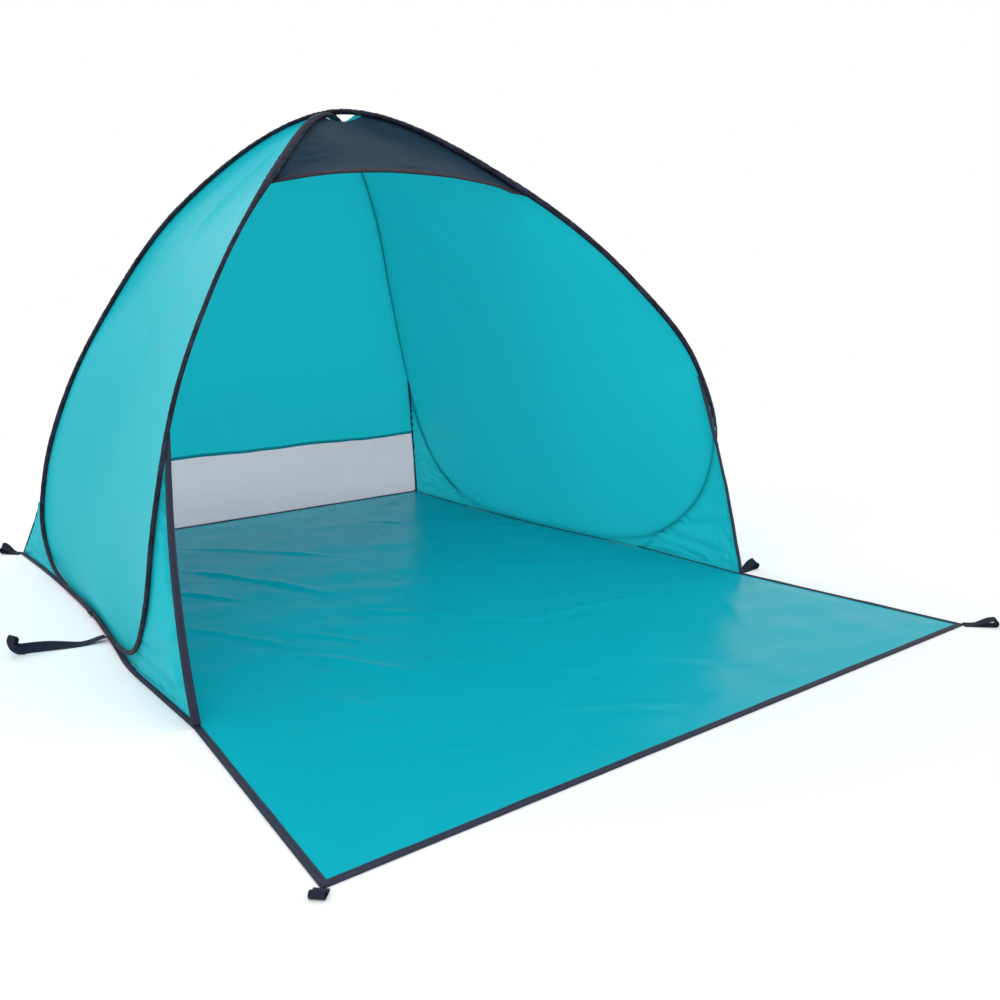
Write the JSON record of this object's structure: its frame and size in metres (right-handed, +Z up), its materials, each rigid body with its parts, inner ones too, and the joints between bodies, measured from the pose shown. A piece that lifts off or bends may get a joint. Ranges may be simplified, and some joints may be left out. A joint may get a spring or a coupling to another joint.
{
  "type": "beach tent",
  "caption": "Pop-up beach tent: crossed spring-wire hoops in cloth sleeves hold side, rear and corner cloths over a floor, with a fold-out front mat and a mesh rear window.",
  "frame": {"origin": "on the ground, under the middle of the body floor, which is the flat face that the tent rests on", "axes": "+Z up; the doorway and the front mat face -Y; +X is on the right of someone who stands in front of the tent and looks in"},
  "size_m": [1.9699, 2.3042, 1.2908],
  "materials": {
    "panel_cloth": "satin",
    "eave_cloth": "satin",
    "floor_cloth": "satin",
    "window_net": "matte",
    "hem_cloth": "satin",
    "sleeve_cloth": "matte",
    "binding_tape": "matte",
    "webbing": "matte",
    "spring_steel": "brushed",
    "crimp_metal": "brushed"
  },
  "bodies": {
    "tent": {"body_floor": "floor_cloth", "left_floor_binding": "binding_tape", "right_floor_binding": "binding_tape", "rear_floor_binding": "binding_tape", "spring_wire": "spring_steel", "wire_crimp": "crimp_metal", "left_front_sleeve": "sleeve_cloth", "left_ground_sleeve": "sleeve_cloth", "left_rear_sleeve": "sleeve_cloth", "right_front_sleeve": "sleeve_cloth", "right_ground_sleeve": "sleeve_cloth", "right_rear_sleeve": "sleeve_cloth", "left_side_panel": "panel_cloth", "right_side_panel": "panel_cloth", "rear_panel": "panel_cloth", "window_hem": "hem_cloth", "mesh_window": "window_net", "front_eave": "eave_cloth", "eave_binding": "binding_tape", "left_front_gusset": "panel_cloth", "right_front_gusset": "panel_cloth", "left_rear_gusset": "panel_cloth", "right_rear_gusset": "panel_cloth", "left_front_leg_binding": "binding_tape", "right_front_leg_binding": "binding_tape", "left_rear_leg_binding": "binding_tape", "right_rear_leg_binding": "binding_tape", "sleeve_tab": "webbing"},
    "porch": {"porch_floor": "floor_cloth", "left_porch_binding": "binding_tape", "right_porch_binding": "binding_tape", "front_porch_binding": "binding_tape"},
    "rear_left_loop": {"rear_left_stake_loop": "webbing"},
    "rear_right_loop": {"rear_right_stake_loop": "webbing"},
    "front_left_loop": {"front_left_stake_loop": "webbing"},
    "front_right_loop": {"front_right_stake_loop": "webbing"},
    "middle_right_loop": {"middle_right_stake_loop": "webbing"},
    "strap": {"pull_strap": "webbing"}
  },
  "joints": [
    {"name": "porch_fold", "type": "hinge", "parent": "tent", "child": "porch", "pos_m": [0, -0.775, 0.0035], "axis": [-1, 0, 0], "range_deg": [0, 90]},
    {"name": "rear_left_loop_fold", "type": "hinge", "parent": "tent", "child": "rear_left_loop", "pos_m": [-0.74171, 0.77671, 0.0032], "axis": [0.7071, 0.7071, 0], "range_deg": [0, 75]},
    {"name": "rear_right_loop_fold", "type": "hinge", "parent": "tent", "child": "rear_right_loop", "pos_m": [0.74171, 0.77671, 0.0032], "axis": [0.7071, -0.7071, 0], "range_deg": [0, 75]},
    {"name": "front_left_loop_fold", "type": "hinge", "parent": "porch", "child": "front_left_loop", "pos_m": [-0.89688, -1.39671, 0.0032], "axis": [-0.7071, 0.7071, 0], "range_deg": [0, 75]},
    {"name": "front_right_loop_fold", "type": "hinge", "parent": "porch", "child": "front_right_loop", "pos_m": [0.89688, -1.39671, 0.0032], "axis": [-0.7071, -0.7071, 0], "range_deg": [0, 75]},
    {"name": "middle_right_loop_fold", "type": "hinge", "parent": "tent", "child": "middle_right_loop", "pos_m": [0.82667, -0.755, 0.0032], "axis": [0, -1, 0], "range_deg": [0, 75]},
    {"name": "strap_swing", "type": "hinge", "parent": "tent", "child": "strap", "pos_m": [-0.79504, -0.1705, 0.0113], "axis": [0, 1, 0], "range_deg": [0, 75]}
  ]
}
